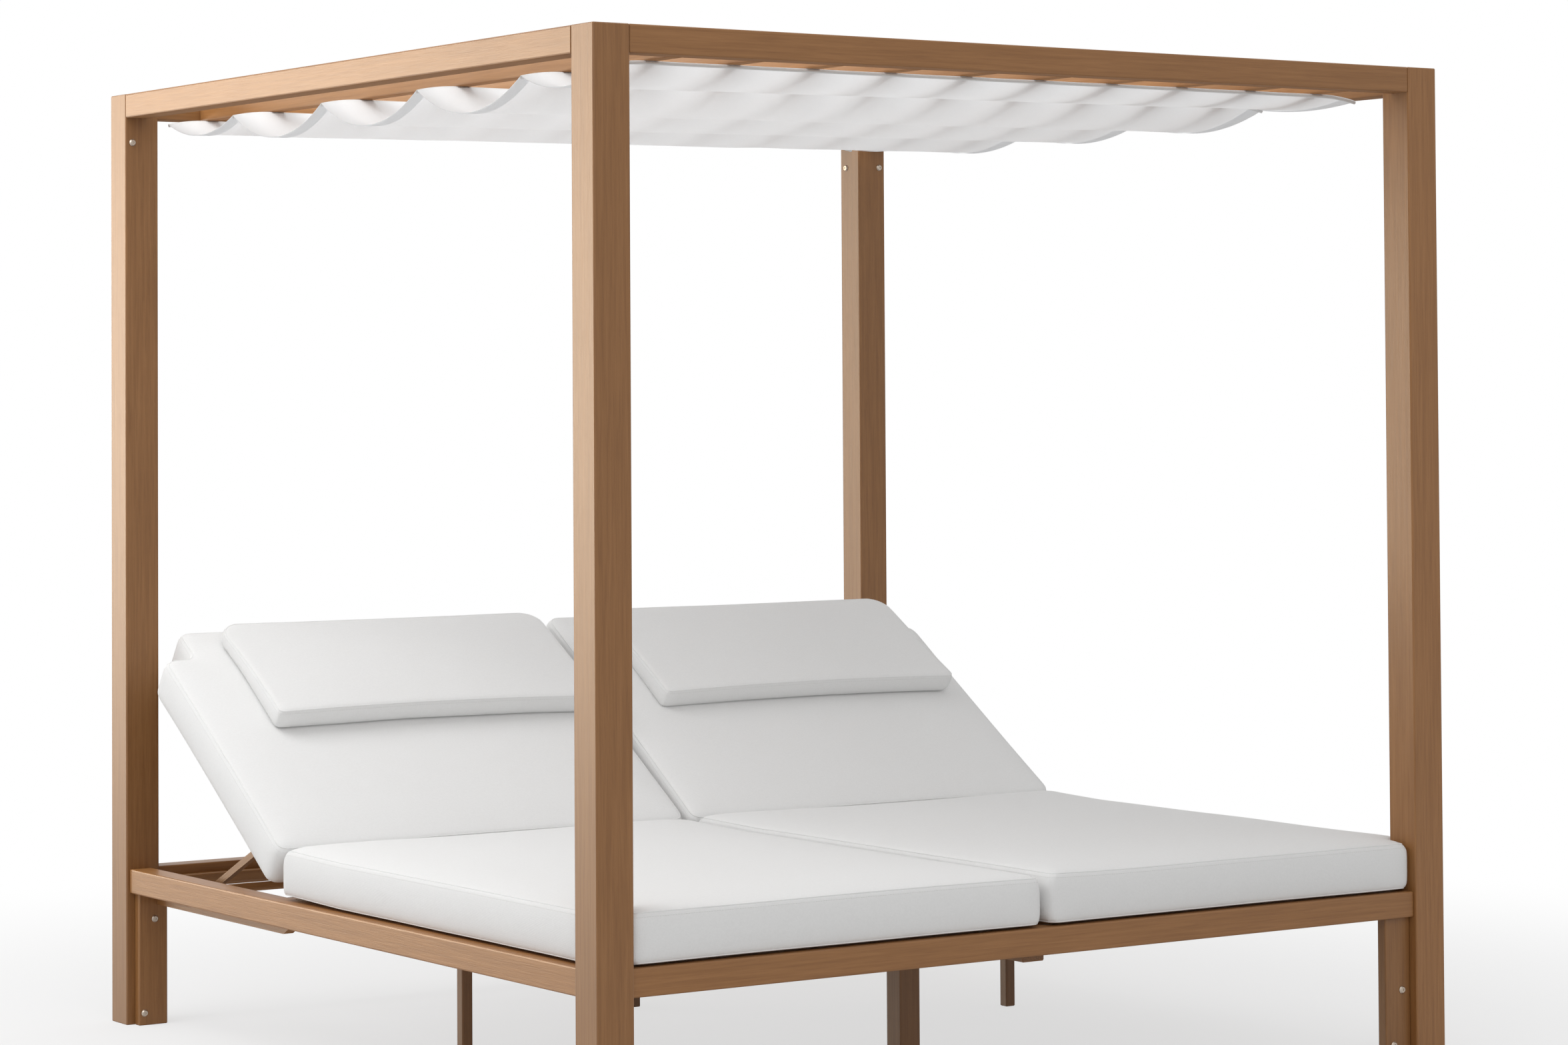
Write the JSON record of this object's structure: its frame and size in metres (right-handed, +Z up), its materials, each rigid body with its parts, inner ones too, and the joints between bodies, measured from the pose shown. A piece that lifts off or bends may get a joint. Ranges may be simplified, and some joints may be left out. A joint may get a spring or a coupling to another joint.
{
  "type": "outdoor daybed with canopy",
  "caption": "Square timber daybed: corner posts, slatted roof with a draped cloth canopy, seat cushions, and backs that fold down on props.",
  "frame": {"origin": "on the floor, midway between the four posts", "axes": "+X across the bed to the right as seen from the foot, +Y from the foot to the head, +Z up"},
  "size_m": [2, 2, 1.99],
  "materials": {
    "timber": "planed hardwood, light oiled finish, matt",
    "deck_timber": "planed hardwood in the shade of the bed, matt",
    "steel": "brushed stainless steel",
    "cushion_cloth": "white woven outdoor cloth over foam",
    "canopy_cloth": "off-white woven outdoor cloth"
  },
  "bodies": {
    "bed": {"post_foot_left": "timber", "post_foot_right": "timber", "post_head_left": "timber", "post_head_right": "timber", "top_rail_left": "timber", "top_rail_right": "timber", "top_rail_foot": "timber", "top_rail_head": "timber", "roof_slat_01": "timber", "roof_slat_02": "timber", "roof_slat_03": "timber", "roof_slat_04": "timber", "roof_slat_05": "timber", "roof_slat_06": "timber", "roof_slat_07": "timber", "roof_slat_08": "timber", "roof_slat_09": "timber", "roof_slat_10": "timber", "canopy_cloth": "canopy_cloth", "bed_rail_left": "timber", "bed_rail_right": "timber", "bed_rail_foot": "timber", "bed_rail_head": "timber", "centre_beam": "timber", "centre_leg_foot": "timber", "centre_leg_head": "timber", "narrow_leg_left": "timber", "narrow_leg_right": "timber", "leg_board_foot_left": "timber", "leg_board_foot_right": "timber", "leg_board_head_left": "timber", "leg_board_head_right": "timber", "seat_deck_left": "deck_timber", "seat_deck_right": "deck_timber", "side_ledger_left": "deck_timber", "side_ledger_right": "deck_timber", "head_ledger_left": "deck_timber", "head_ledger_right": "deck_timber", "rack_left_outer": "deck_timber", "rack_left_inner": "deck_timber", "rack_right_outer": "deck_timber", "rack_right_inner": "deck_timber", "hinge_rod_left": "steel", "hinge_rod_right": "steel", "seat_cushion_left": "cushion_cloth", "seat_cushion_right": "cushion_cloth"},
    "back_left": {"back_frame_left": "timber", "prop_rod_left": "steel"},
    "back_right": {"back_frame_right": "timber", "prop_rod_right": "steel"},
    "cushion_left": {"back_cushion_left": "cushion_cloth", "head_cushion_left": "cushion_cloth"},
    "cushion_right": {"back_cushion_right": "cushion_cloth", "head_cushion_right": "cushion_cloth"},
    "prop_left": {"prop_arm_left_outer": "timber", "prop_arm_left_inner": "timber", "prop_bar_left": "timber"},
    "prop_right": {"prop_arm_right_outer": "timber", "prop_arm_right_inner": "timber", "prop_bar_right": "timber"}
  },
  "joints": [
    {"name": "back_left_hinge", "type": "hinge", "parent": "bed", "child": "back_left", "pos_m": [-0.4837, 0.276, 0.3205], "axis": [1, 0, 0], "range_deg": [-33.5, 11.5]},
    {"name": "back_right_hinge", "type": "hinge", "parent": "bed", "child": "back_right", "pos_m": [0.4837, 0.276, 0.3205], "axis": [1, 0, 0], "range_deg": [-33.5, 11.5]},
    {"name": "prop_left_hinge", "type": "hinge", "parent": "back_left", "child": "prop_left", "pos_m": [-0.4837, 0.43444, 0.42537], "axis": [1, 0, 0], "range_deg": [-19, 54.5]},
    {"name": "prop_right_hinge", "type": "hinge", "parent": "back_right", "child": "prop_right", "pos_m": [0.4837, 0.43444, 0.42537], "axis": [1, 0, 0], "range_deg": [-19, 54.5]},
    {"name": "cushion_left_slide", "type": "slide", "parent": "back_left", "child": "cushion_left", "axis": [0, 0.8339, 0.5519], "range_m": [-0.051, 0.0185]},
    {"name": "cushion_right_slide", "type": "slide", "parent": "back_right", "child": "cushion_right", "axis": [0, 0.8339, 0.5519], "range_m": [-0.051, 0.0185]}
  ],
  "couplings": [
    {"joint": "prop_left_hinge", "follows": "back_left_hinge", "ratio": -1.62},
    {"joint": "prop_right_hinge", "follows": "back_right_hinge", "ratio": -1.62},
    {"joint": "cushion_left_slide", "follows": "back_left_hinge", "m_per_rad": 0.0855},
    {"joint": "cushion_right_slide", "follows": "back_right_hinge", "m_per_rad": 0.0855}
  ]
}
